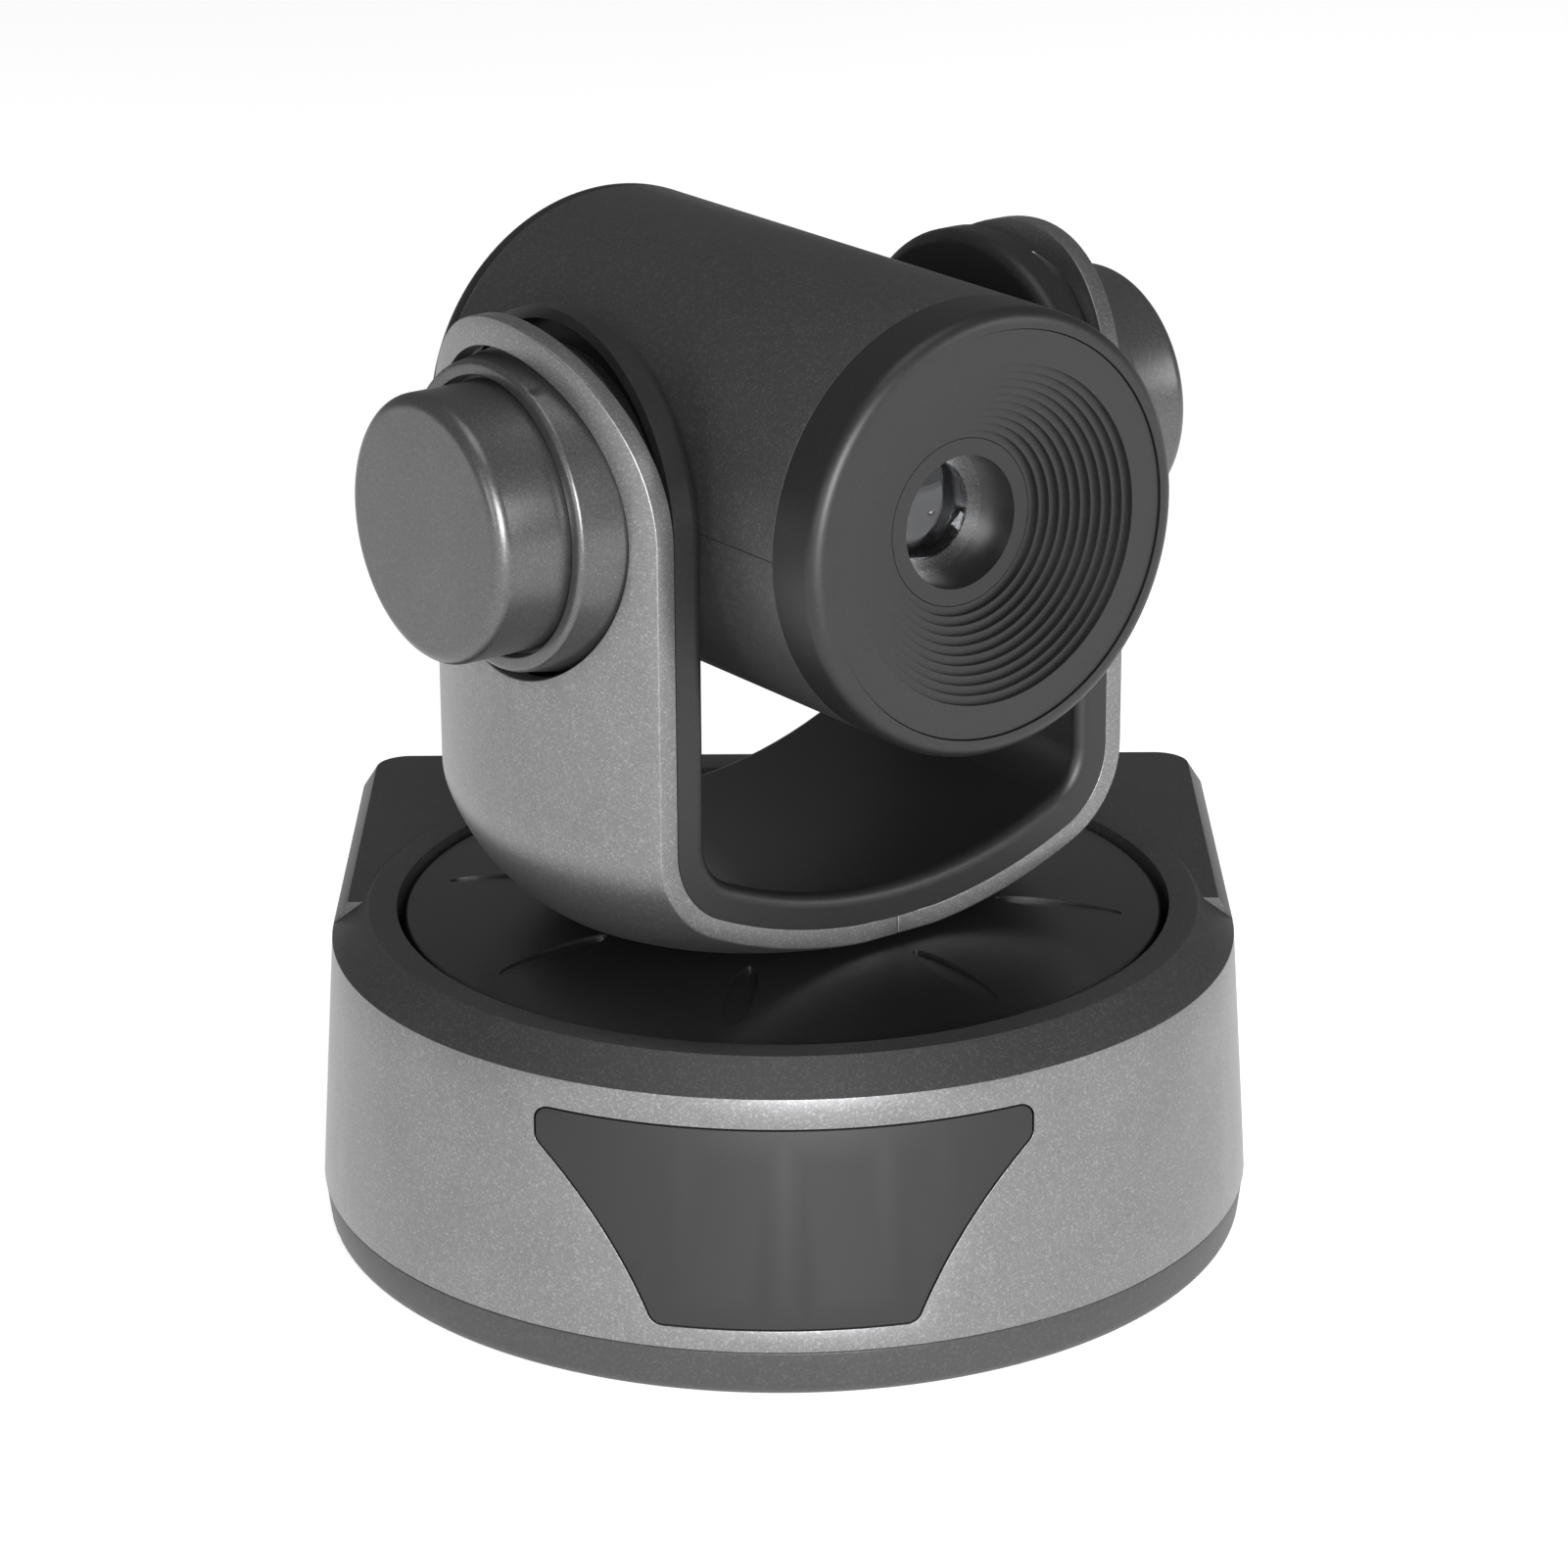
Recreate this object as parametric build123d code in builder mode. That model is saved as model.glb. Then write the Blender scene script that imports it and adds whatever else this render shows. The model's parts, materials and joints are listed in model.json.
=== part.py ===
from build123d import *
import os
from math import acos, atan2, cos, degrees, pi, radians, sin, sqrt, tan

# ------------------------------------------------------------------ driving dimensions (mm)
# Frame: Z is the pan axis, the base's round front faces -Y, and Z = 0 is the table.
PAN_REST = 36.5          # the head is turned this far towards +X at rest

# base
BASE_R = 64.0            # round front at its widest, the seam between tray and wall
BASE_BACK = 64.0         # flat back, measured from the pan axis
BACK_CORNER_R = 9.0
FOOT_HEIGHT = 1.0
SEAM_Z = 7.8
WALL_TOP_Z = 42.2
WALL_TOP_INSET = 2.2     # the wall leans in by this much
WALL = 2.2
DECK_Z = 45.3
DECK_INSET = 2.0         # edge chamfer of the rear deck
LIP_Z = 46.0
LIP_R = 56.7
WELL_R = 52.9            # the hole that the turntable turns in

# turntable and pan drive
DISC_R = 51.8
DISC_RIM_Z = 45.3
DISC_TOP_Z = 48.0
SHAFT_R = 8.0
SHAFT_BORE_R = 5.5
PLATE_Z = 24.0
PLATE = 1.5
GEAR_MODULE = 1.0
GEAR_TEETH = 60
PINION_TEETH = 15
GEAR_BASE_Z = 29.0
GEAR_WIDTH = 4.0
RUNNING = 0.05           # radial clearance of a shaft in its bush

# yoke
TILT_Z = 108.7           # height of the tilt axis
YOKE_HALF = 38.3         # half the outer width
YOKE_DEPTH_HALF = 25.7   # half the depth, and the radius of the arm ends
YOKE_BOTTOM_Z = 48.2
YOKE_FLAT_Z = 48.4       # flat of the underside, just over the disc
YOKE_BOTTOM_R = 71.4
YOKE_CORNER_R = 14.0
YOKE_SWELL = 6.0         # how far its sides and corners swell outwards half way along the depth
SHELL = 2.7
LINER_OUT = 6.0          # depth of the hollow between shell and liner web
YOKE_WALL = 7.4          # whole thickness of an arm
FRAME_IN = 3.2
FRAME_OUT = 4.7

# knobs over the axle ends
BOSS_R = 21.7            # at the foot, narrowing to BOSS_TOP_R
BOSS_TOP_R = 20.4
BOSS_BORE_R = 19.5
BOSS_FACE = 46.2         # distance from the pan axis along the tilt axis
CAP_R = 17.6
CAP_FACE = 56.5
GROOVE = 0.7

# head, measured ahead of the tilt axis
BARREL_R = 29.3
BARREL_WALL = 2.0
REAR_END = -42.5
REAR_SEAM = -38.5
BEZEL_SEAM = 37.7
FRONT_END = 46.3
HOOD_FACE = 46.0
HOOD_MOUTH_R = 22.2
HOOD_THROAT_R = 11.1
HOOD_DEPTH = 7.5
HOOD_STEPS = 10
COLLAR_R = 11.0
JOURNAL_R = 5.0
SEAM_GAP = 0.1

# lens block
BLOCK_HALF = 15.0
BLOCK_BACK = -22.0
BLOCK_FRONT = 28.0
BLOCK_BORE_R = 12.5
ROD_CIRCLE_R = 10.3
ROD_R = 0.8

# tripod thread, 1/4 inch
TRIPOD_R = 3.175
TRIPOD_DEPTH = 7.5

# ------------------------------------------------------------------ frames
ACROSS = Vector(cos(radians(PAN_REST)), sin(radians(PAN_REST)), 0)
AHEAD = Vector(sin(radians(PAN_REST)), -cos(radians(PAN_REST)), 0)
TILT_POINT = Vector(0, 0, TILT_Z)
TILT_AXIS = Axis(TILT_POINT, ACROSS)
LENS_AXIS = Axis(TILT_POINT, AHEAD)
YOKE_FACE = Plane(origin=(0, 0, 0), x_dir=ACROSS, z_dir=AHEAD)              # across, up
HEAD_FACE = Plane(origin=TILT_POINT, x_dir=ACROSS, z_dir=AHEAD)             # across, up
ARM_SIDE = Plane(origin=TILT_POINT, x_dir=-AHEAD, z_dir=ACROSS)             # back, up
HEAD_PLAN = Plane(origin=TILT_POINT, x_dir=ACROSS, z_dir=(0, 0, -1))        # across, ahead

os.makedirs("parts", exist_ok=True)


def save(piece, name):
    """Label a finished piece and write its file."""
    piece.label = name
    export_step(piece, f"parts/{name}.step")


# ------------------------------------------------------------------ shapes used more than once
def base_block(z, height, inset, shrink):
    """A block with the base's plan, inset all round, that shrinks evenly on its way up."""
    with BuildPart() as block:
        with BuildSketch(Plane.XY.offset(z)) as plan:
            Circle(BASE_R - inset)
            with Locations((0, (BASE_BACK - inset) / 2)):
                Rectangle(2 * (BASE_R - inset), BASE_BACK - inset)
            fillet(plan.vertices().group_by(Axis.Y)[-1], max(BACK_CORNER_R - inset, 2))
        extrude(amount=height, taper=degrees(atan2(shrink, height)))
    return block.part


def yoke_outline(inset, depth=0.0):
    """The U of the yoke filled in, its outline moved inwards by inset, at a depth along the lens axis."""
    corner_x = YOKE_HALF - YOKE_CORNER_R
    centre_z = YOKE_BOTTOM_Z + YOKE_BOTTOM_R
    corner_z = centre_z - sqrt((YOKE_BOTTOM_R - YOKE_CORNER_R) ** 2 - corner_x**2)
    lean = atan2(corner_x, centre_z - corner_z)
    floor_r = YOKE_BOTTOM_R - inset
    corner_r = YOKE_CORNER_R - inset
    half = YOKE_HALF - inset
    top_z = TILT_Z + 3 * YOKE_DEPTH_HALF
    floor_end = (floor_r * sin(lean), centre_z - floor_r * cos(lean))
    bend = (pi / 2 + lean) / 2
    corner_mid = (corner_x + corner_r * sin(bend), corner_z - corner_r * cos(bend))
    with BuildSketch(YOKE_FACE.offset(depth)) as outline:
        with BuildLine():
            ThreePointArc((-floor_end[0], floor_end[1]), (0, centre_z - floor_r), floor_end)
            for side in (-1, 1):
                ThreePointArc(
                    (side * floor_end[0], floor_end[1]),
                    (side * corner_mid[0], corner_mid[1]),
                    (side * half, corner_z),
                )
                Line((side * half, corner_z), (side * half, top_z))
            Line((-half, top_z), (half, top_z))
        make_face()
    return outline.sketch


def arm_slab(end_r):
    """The arm's side view, round at the top, as a slab right across the yoke."""
    with BuildPart() as slab:
        with BuildSketch(ARM_SIDE):
            Circle(end_r)
            with Locations((0, -TILT_Z / 2)):
                Rectangle(2 * end_r, TILT_Z)
        extrude(amount=2 * YOKE_HALF, both=True)
    return slab.part


def yoke_block(inset, half_depth, end_r):
    """The filled U with straight sides, inset from the yoke's rims."""
    with BuildPart() as block:
        extrude(yoke_outline(inset, -half_depth), amount=2 * half_depth, dir=AHEAD)
        add(arm_slab(end_r), mode=Mode.INTERSECT)
    return block.part


def swollen_block(inset, reach, end_r):
    """The filled U with its sides and corners swollen between the rims, and a flat underside."""
    with BuildPart() as block:
        for step in (-1, -0.6, 0, 0.6, 1):
            share = step * reach
            add(yoke_outline(inset - YOKE_SWELL * (1 - share**2), share * YOKE_DEPTH_HALF))
        loft()
        add(arm_slab(end_r), mode=Mode.INTERSECT)
        with BuildSketch(Plane.XY.offset(YOKE_FLAT_Z + inset)):
            Rectangle(6 * YOKE_HALF, 6 * YOKE_HALF)
        extrude(amount=2 * TILT_Z, mode=Mode.INTERSECT)
    return block.part


def gear_outline(teeth, backlash):
    """Points of an involute spur gear, with a tooth centred on the X axis."""
    pitch_r = GEAR_MODULE * teeth / 2
    base_r = pitch_r * cos(radians(20))
    root_r = pitch_r - 1.25 * GEAR_MODULE
    involute = tan(radians(20)) - radians(20)
    half_tooth = pi / (2 * teeth) - backlash / (2 * pitch_r)
    flank = []
    for step in range(5):
        radius = max(base_r, root_r) + step / 4 * (pitch_r + GEAR_MODULE - max(base_r, root_r))
        pressure = acos(base_r / radius)
        flank.append((radius, half_tooth + involute - tan(pressure) + pressure))
    if root_r < base_r:
        flank.insert(0, (root_r, flank[0][1]))
    tooth = [(radius, -angle) for radius, angle in flank] + flank[::-1]
    points = []
    for count in range(teeth):
        turn = 2 * pi * count / teeth
        points += [(r * cos(a + turn), r * sin(a + turn)) for r, a in tooth]
    return points


def ring(inner_r, outer_r, start, end, plane):
    """A plain ring about a plane's Z, from start to end along it."""
    with BuildPart() as made:
        with BuildSketch(plane.offset(start)):
            Circle(outer_r)
            Circle(inner_r, mode=Mode.SUBTRACT)
        extrude(amount=end - start)
    return made.part


def screws(plane, places, head_r, head_height, shank_r, length):
    """Cross-recessed screws, heads on the plane and shanks running against its Z."""
    with BuildPart() as made:
        with BuildSketch(plane):
            with Locations(*places):
                Circle(head_r)
        extrude(amount=head_height)
        with BuildSketch(plane):
            with Locations(*places):
                Circle(shank_r)
        extrude(amount=-length)
        with BuildSketch(plane.offset(head_height)):
            with Locations(*places):
                Rectangle(1.1 * head_r, 0.28 * head_r)
                Rectangle(0.28 * head_r, 1.1 * head_r)
        extrude(amount=-0.6 * head_height, mode=Mode.SUBTRACT)
    return made.part


# ------------------------------------------------------------------ base: casing
POSTS = [(-44, -34), (44, -34), (-54, 54), (54, 54)]
FEET = [(-30, -44), (30, -44), (-44, 46), (44, 46)]
POST_R = 4.0
FOOT_R = 5.8
TRAY_FLOOR = 2.0
WALL_HEIGHT = WALL_TOP_Z - SEAM_Z

tray_outer = base_block(FOOT_HEIGHT, SEAM_Z - FOOT_HEIGHT, 0.9, -0.8)
tray_inner = base_block(FOOT_HEIGHT + TRAY_FLOOR, SEAM_Z, 3.2, 0)
with BuildPart() as base_pan:
    add(tray_outer)
    fillet(base_pan.edges().group_by(Axis.Z)[0], 2.4)
    add(tray_inner, mode=Mode.SUBTRACT)
    # short bosses under the casing's posts, and the boss of the tripod thread
    with BuildSketch(Plane.XY.offset(FOOT_HEIGHT + TRAY_FLOOR)):
        with Locations(*POSTS):
            Circle(POST_R)
    extrude(amount=2)
    with BuildSketch(Plane.XY.offset(FOOT_HEIGHT)):
        Circle(8)
    extrude(amount=TRIPOD_DEPTH - 2)
    with BuildSketch(Plane.XY.offset(FOOT_HEIGHT)):
        with Locations(*FEET):
            Circle(FOOT_R + 0.2)
    extrude(amount=0.8, mode=Mode.SUBTRACT)
    with BuildSketch(Plane.XY.offset(FOOT_HEIGHT)):
        Circle(5)
    extrude(amount=TRIPOD_DEPTH, mode=Mode.SUBTRACT)
    with BuildSketch(Plane.XY.offset(FOOT_HEIGHT)):
        with Locations(*POSTS):
            Circle(1.6)
    extrude(amount=10, mode=Mode.SUBTRACT)
    with BuildSketch(Plane.XY.offset(FOOT_HEIGHT)):
        with Locations(*POSTS):
            Circle(3.0)
    extrude(amount=1.6, mode=Mode.SUBTRACT)
save(base_pan.part, "base_pan")

with BuildPart() as feet:
    with BuildSketch():
        with Locations(*FEET):
            Circle(FOOT_R)
    extrude(amount=FOOT_HEIGHT + 0.8)
    fillet(feet.edges().group_by(Axis.Z)[0], 0.4)
save(feet.part, "rubber_feet")

with BuildPart() as tripod_insert:
    with BuildSketch(Plane.XY.offset(FOOT_HEIGHT)):
        Circle(5)
        Circle(TRIPOD_R, mode=Mode.SUBTRACT)
    extrude(amount=TRIPOD_DEPTH)
save(tripod_insert.part, "tripod_insert")

screw_seat = Plane(origin=(0, 0, FOOT_HEIGHT + 1.6), x_dir=(-1, 0, 0), z_dir=(0, 0, -1))
base_screws = screws(screw_seat, POSTS, 2.7, 1.4, 1.25, 12)
save(base_screws, "base_screws")

# front window: a wide top that narrows in two hollow curves to a short bottom edge
WINDOW_TOP = 37.9
WINDOW_BOTTOM = 11.1
WINDOW_HALF = 31.8
WINDOW_SHOULDER = 33.6
WINDOW_FOOT_HALF = 16.9


def window_prism(grow):
    """The window's outline, run through the front of the base."""
    with BuildPart() as prism:
        with BuildSketch(Plane.XZ.offset(20)) as outline:
            with BuildLine():
                Polyline(
                    (WINDOW_HALF, WINDOW_SHOULDER),
                    (WINDOW_HALF, WINDOW_TOP),
                    (-WINDOW_HALF, WINDOW_TOP),
                    (-WINDOW_HALF, WINDOW_SHOULDER),
                )
                for side in (-1, 1):
                    ThreePointArc(
                        (side * WINDOW_HALF, WINDOW_SHOULDER),
                        (side * 22.8, 22.6),
                        (side * WINDOW_FOOT_HALF, WINDOW_BOTTOM),
                    )
                Line((-WINDOW_FOOT_HALF, WINDOW_BOTTOM), (WINDOW_FOOT_HALF, WINDOW_BOTTOM))
            make_face()
            fillet(outline.vertices(), 1.8)
            offset(amount=grow)
        extrude(amount=BASE_R)
    return prism.part


# rear port panel
PANEL_HALF = 42.0
PANEL_LOW = 9.6
PANEL_HIGH = 30.0
PANEL_BACK = 61.0
PANEL_MID = (PANEL_LOW + PANEL_HIGH) / 2
PANEL_HEIGHT = PANEL_HIGH - PANEL_LOW

wall_outer = base_block(SEAM_Z + SEAM_GAP, WALL_HEIGHT - SEAM_GAP, 0, WALL_TOP_INSET)
wall_inner = base_block(SEAM_Z + SEAM_GAP, WALL_HEIGHT - SEAM_GAP, WALL, WALL_TOP_INSET)
window_hole = window_prism(0.25)
window_body = window_prism(0.01)
with BuildPart() as base_wall:
    add(wall_outer)
    add(wall_inner, mode=Mode.SUBTRACT)
    add(window_hole, mode=Mode.SUBTRACT)
    with BuildSketch(Plane.XZ.offset(-BASE_BACK + 10)):
        with Locations((0, PANEL_MID)):
            RectangleRounded(2 * PANEL_HALF + 0.4, PANEL_HEIGHT + 0.4, 2.2)
    extrude(amount=-20, mode=Mode.SUBTRACT)
save(base_wall.part, "base_wall")

window_outer = base_block(SEAM_Z + SEAM_GAP, WALL_HEIGHT - SEAM_GAP, 0.05, WALL_TOP_INSET)
with BuildPart() as front_window:
    add(window_outer)
    add(wall_inner, mode=Mode.SUBTRACT)
    add(window_body, mode=Mode.INTERSECT)
save(front_window.part, "front_window")

# top cover: chamfered round ring in front, lower flat deck behind, with posts down to the tray
cover_deck = base_block(WALL_TOP_Z, DECK_Z - WALL_TOP_Z, WALL_TOP_INSET, DECK_INSET)
cover_hollow = base_block(WALL_TOP_Z, DECK_Z - WALL_TOP_Z - WALL, WALL_TOP_INSET + WALL, 0)
SKIRT_Z = 38.0
with BuildPart() as base_cover:
    add(cover_deck)
    with BuildSketch(Plane.XY.offset(WALL_TOP_Z)):
        with Locations((0, -BASE_R)):
            Rectangle(4 * BASE_R, 2 * BASE_R)
    extrude(amount=2 * WALL, mode=Mode.SUBTRACT)
    with BuildSketch(Plane.XZ):
        with BuildLine():
            Polyline(
                (WELL_R, WALL_TOP_Z),
                (BASE_R - WALL_TOP_INSET, WALL_TOP_Z),
                (LIP_R + 0.4, LIP_Z - 0.3),
                (LIP_R, LIP_Z),
                (WELL_R, LIP_Z),
                close=True,
            )
        make_face()
    revolve(axis=Axis.Z)
    add(cover_hollow, mode=Mode.SUBTRACT)
    # ring wall round the turntable's well, and the posts
    with BuildSketch(Plane.XY.offset(SKIRT_Z)):
        Circle(WELL_R + 2)
    extrude(amount=DECK_Z - SKIRT_Z)
    with BuildSketch(Plane.XY.offset(FOOT_HEIGHT + TRAY_FLOOR + 2)):
        with Locations(*POSTS):
            Circle(POST_R)
    extrude(until=Until.NEXT)
    with BuildSketch(Plane.XY.offset(SKIRT_Z)):
        Circle(WELL_R)
    extrude(amount=2 * (LIP_Z - SKIRT_Z), mode=Mode.SUBTRACT)
    with BuildSketch(Plane.XY.offset(FOOT_HEIGHT + TRAY_FLOOR + 2)):
        with Locations(*POSTS):
            Circle(1.25)
    extrude(amount=11, mode=Mode.SUBTRACT)
save(base_cover.part, "base_cover")

# ------------------------------------------------------------------ base: inside
BOARD_Z = 9.0
BOARD = 1.6
BOARD_CENTRE = (8, 7)
BOARD_SIZE = (64, 86)
BOARD_HOLES = [(-20, -32), (36, -32), (-20, 40), (36, 40)]
BOARD_TOP = BOARD_Z + BOARD

with BuildPart() as standoffs:
    for start, end in ((FOOT_HEIGHT + TRAY_FLOOR, BOARD_Z), (BOARD_TOP, PLATE_Z)):
        with BuildSketch(Plane.XY.offset(start)):
            with Locations(*BOARD_HOLES):
                RegularPolygon(3.0, 6)
        extrude(amount=end - start)
save(standoffs.part, "standoffs")

with BuildPart() as main_board:
    with BuildSketch(Plane.XY.offset(BOARD_Z)):
        with Locations(BOARD_CENTRE):
            RectangleRounded(*BOARD_SIZE, 2)
        with Locations(*BOARD_HOLES):
            Circle(1.6, mode=Mode.SUBTRACT)
    extrude(amount=BOARD)
save(main_board.part, "main_board")

with BuildPart() as board_chips:
    for place, size, height in (
        ((10, 10), (16, 16), 1.8),
        ((10, -14), (12, 10), 1.2),
        ((26, 12), (9, 11), 1.2),
        ((-12, 12), (10, 10), 4.0),
        ((28, -14), (7, 7), 3.2),
    ):
        with BuildSketch(Plane.XY.offset(BOARD_TOP)):
            with Locations(place):
                RectangleRounded(*size, 0.6)
        extrude(amount=height)
save(board_chips.part, "board_chips")

# sockets along the back edge of the board
PORT_FRONT = 47.0
PORT_BACK = 61.4
USB_X = -17.0
USB_SIZE = (12.0, 11.2)
DIN_XS = (0.0, 16.0)
DIN_SIZE = (13.0, 12.6)
DC_X = 31.0
DC_SIZE = (9.0, 11.0)
PORT_LENGTH = PORT_BACK - PORT_FRONT
BACK_VIEW = Plane(origin=(0, PORT_BACK, 0), x_dir=(-1, 0, 0), z_dir=(0, 1, 0))


def port_block(x, size):
    """The body of one socket, standing on the board, its mouth flush with the back."""
    with BuildPart() as block:
        with BuildSketch(BACK_VIEW):
            with Locations((-x, BOARD_TOP + size[1] / 2)):
                RectangleRounded(*size, 0.5)
        extrude(amount=-PORT_LENGTH)
    return block.part


usb_body = port_block(USB_X, USB_SIZE)
USB_MOUTH = (8.6, 7.8)
USB_Z = BOARD_TOP + USB_SIZE[1] / 2
with BuildPart() as usb_port:
    add(usb_body)
    with BuildSketch(BACK_VIEW):
        with Locations((-USB_X, USB_Z)):
            Rectangle(*USB_MOUTH)
            chamfer(vertices().group_by(Axis.Y)[-1], 1.4)
            Rectangle(5.4, 3.2, mode=Mode.SUBTRACT)
    extrude(amount=-9, mode=Mode.SUBTRACT)
save(usb_port.part, "usb_port")

din_bodies = [port_block(x, DIN_SIZE) for x in DIN_XS]
DIN_Z = BOARD_TOP + DIN_SIZE[1] / 2
with BuildPart() as serial_ports:
    for body in din_bodies:
        add(body)
    with BuildSketch(BACK_VIEW):
        with Locations(*[(-x, DIN_Z) for x in DIN_XS]):
            Circle(4.7)
            Circle(3.7, mode=Mode.SUBTRACT)
    extrude(amount=-6, mode=Mode.SUBTRACT)
    # eight contact holes, three over three over two
    with BuildSketch(BACK_VIEW):
        for x in DIN_XS:
            for row, count in ((1.7, 3), (0, 3), (-1.7, 2)):
                with Locations((-x, DIN_Z + row)):
                    with GridLocations(1.9, 1, count, 1):
                        Circle(0.42)
    extrude(amount=-4, mode=Mode.SUBTRACT)
save(serial_ports.part, "serial_ports")

dc_body = port_block(DC_X, DC_SIZE)
DC_Z = BOARD_TOP + DC_SIZE[1] / 2
with BuildPart() as dc_jack:
    add(dc_body)
    with BuildSketch(BACK_VIEW):
        with Locations((-DC_X, DC_Z)):
            Circle(2.8)
            Circle(1.05, mode=Mode.SUBTRACT)
    extrude(amount=-9.5, mode=Mode.SUBTRACT)
save(dc_jack.part, "dc_jack")

PORT_GAP = 0.3
with BuildPart() as rear_panel:
    with BuildSketch(Plane.XZ.offset(-PANEL_BACK)):
        with Locations((0, PANEL_MID)):
            RectangleRounded(2 * PANEL_HALF, PANEL_HEIGHT, 2)
    extrude(amount=2)
    with BuildSketch(Plane.XZ.offset(-PANEL_BACK + 2)):
        with Locations((0, PANEL_MID + 0.3)):
            RectangleRounded(2 * PANEL_HALF + 3, PANEL_HEIGHT + 2, 2)
    extrude(amount=1.2)
    with BuildSketch(Plane.XZ.offset(-PANEL_BACK - 1)):
        for x, size in ((USB_X, USB_SIZE), (DIN_XS[0], DIN_SIZE), (DIN_XS[1], DIN_SIZE), (DC_X, DC_SIZE)):
            with Locations((x, BOARD_TOP + size[1] / 2)):
                RectangleRounded(size[0] + PORT_GAP, size[1] + PORT_GAP, 0.6)
    extrude(amount=6, mode=Mode.SUBTRACT)
save(rear_panel.part, "rear_panel")

# signal board behind the front window
SIGNAL_Y = -52.0
with BuildPart() as signal_board:
    with BuildSketch(Plane.XZ.offset(-SIGNAL_Y)):
        with Locations((0, 24)):
            RectangleRounded(34, 18, 1)
    extrude(amount=-BOARD)
save(signal_board.part, "signal_board")

with BuildPart() as ir_receiver:
    with BuildSketch(Plane.XZ.offset(-SIGNAL_Y)):
        with Locations((-8, 25)):
            RectangleRounded(6, 7, 0.8)
    extrude(amount=3)
    with BuildSketch(Plane.XZ.offset(-SIGNAL_Y)):
        with Locations((-8, 25)):
            Circle(2.4)
    extrude(amount=4.6)
save(ir_receiver.part, "ir_receiver")

with BuildPart() as status_leds:
    with BuildSketch(Plane.XZ.offset(-SIGNAL_Y)):
        with Locations((6, 25), (12, 25)):
            Circle(1.5)
    extrude(amount=3.5)
save(status_leds.part, "status_leds")

# steel plate that carries the turntable and its motor
MOTOR_X = -GEAR_MODULE * (GEAR_TEETH + PINION_TEETH) / 2
MOTOR_R = 12.5
BUSH_R = 12.0
FLANGE_R = 15.0
plate_blank = base_block(PLATE_Z, PLATE, 14, 0)
with BuildPart() as chassis_plate:
    add(plate_blank)
    with BuildSketch(Plane.XY.offset(PLATE_Z)):
        Circle(BUSH_R)
        with Locations((MOTOR_X, 0)):
            Circle(5)
        with Locations(*BOARD_HOLES):
            Circle(1.6)
        # slots that lighten the plate and let the cables through
        with Locations((0, 32), (0, -32)):
            SlotOverall(22, 9)
    extrude(amount=PLATE, mode=Mode.SUBTRACT)
save(chassis_plate.part, "chassis_plate")

with BuildPart() as pan_motor:
    with BuildSketch(Plane.XY.offset(PLATE_Z)):
        with Locations((MOTOR_X, 0)):
            Circle(MOTOR_R)
    extrude(amount=-13)
    fillet(pan_motor.edges().group_by(Axis.Z)[0], 0.8)
    with BuildSketch(Plane.XY.offset(PLATE_Z)):
        with Locations((MOTOR_X, 0)):
            Circle(4.9)
    extrude(amount=PLATE + 0.8)
    with BuildSketch(Plane.XY.offset(PLATE_Z - 13)):
        with Locations((MOTOR_X, 0)):
            Circle(1.5 + RUNNING)
    extrude(amount=20, mode=Mode.SUBTRACT)
save(pan_motor.part, "pan_motor")

with BuildPart() as pan_bush:
    with BuildSketch(Plane.XY.offset(PLATE_Z - 2)):
        Circle(BUSH_R)
    extrude(amount=PLATE + 2)
    with BuildSketch(Plane.XY.offset(PLATE_Z + PLATE)):
        Circle(FLANGE_R)
    extrude(amount=2)
    with BuildSketch(Plane.XY.offset(PLATE_Z - 2)):
        Circle(SHAFT_R + RUNNING)
    extrude(amount=8, mode=Mode.SUBTRACT)
save(pan_bush.part, "pan_bush")

# ------------------------------------------------------------------ pan drive
BACKLASH = 0.14
HUB_BASE_Z = PLATE_Z + PLATE + 2 + 0.2
gear_points = gear_outline(GEAR_TEETH, BACKLASH)
pinion_points = gear_outline(PINION_TEETH, BACKLASH)

with BuildPart() as pan_pinion:
    with BuildSketch(Plane((MOTOR_X, 0, GEAR_BASE_Z - 0.5))):
        Polygon(*pinion_points, align=None)
    extrude(amount=GEAR_WIDTH + 1)
    with BuildSketch(Plane((MOTOR_X, 0, PLATE_Z - 11))):
        Circle(1.5)
    extrude(amount=GEAR_BASE_Z - PLATE_Z + 12 + GEAR_WIDTH)
save(pan_pinion.part, "pan_pinion")

# half a tooth of turn puts a gap of the big gear over the pinion's tooth
with BuildPart() as pan_gear:
    with BuildSketch(Plane.XY.offset(GEAR_BASE_Z).rotated((0, 0, 180 / GEAR_TEETH))):
        Polygon(*gear_points, align=None)
    extrude(amount=GEAR_WIDTH)
    with BuildSketch(Plane.XY.offset(HUB_BASE_Z)):
        Circle(14)
    extrude(amount=GEAR_BASE_Z - HUB_BASE_Z)
    with BuildSketch(Plane.XY.offset(GEAR_BASE_Z)):
        with PolarLocations(21, 6, start_angle=PAN_REST):
            Circle(4.5)
    extrude(amount=GEAR_WIDTH, mode=Mode.SUBTRACT)
    with BuildSketch(Plane.XY.offset(HUB_BASE_Z)):
        Circle(SHAFT_R)
    extrude(amount=2 * GEAR_WIDTH, mode=Mode.SUBTRACT)
save(pan_gear.part, "pan_gear")

CLIP_TOP = PLATE_Z - 2.2
CLIP_R = 10.5
save(ring(SHAFT_R, CLIP_R, CLIP_TOP - 1.2, CLIP_TOP, Plane.XY), "shaft_clip")
frame_underside = YOKE_BOTTOM_Z + FRAME_IN
save(ring(SHAFT_BORE_R, SHAFT_R, CLIP_TOP - 3, frame_underside, Plane.XY), "pan_shaft")

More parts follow.
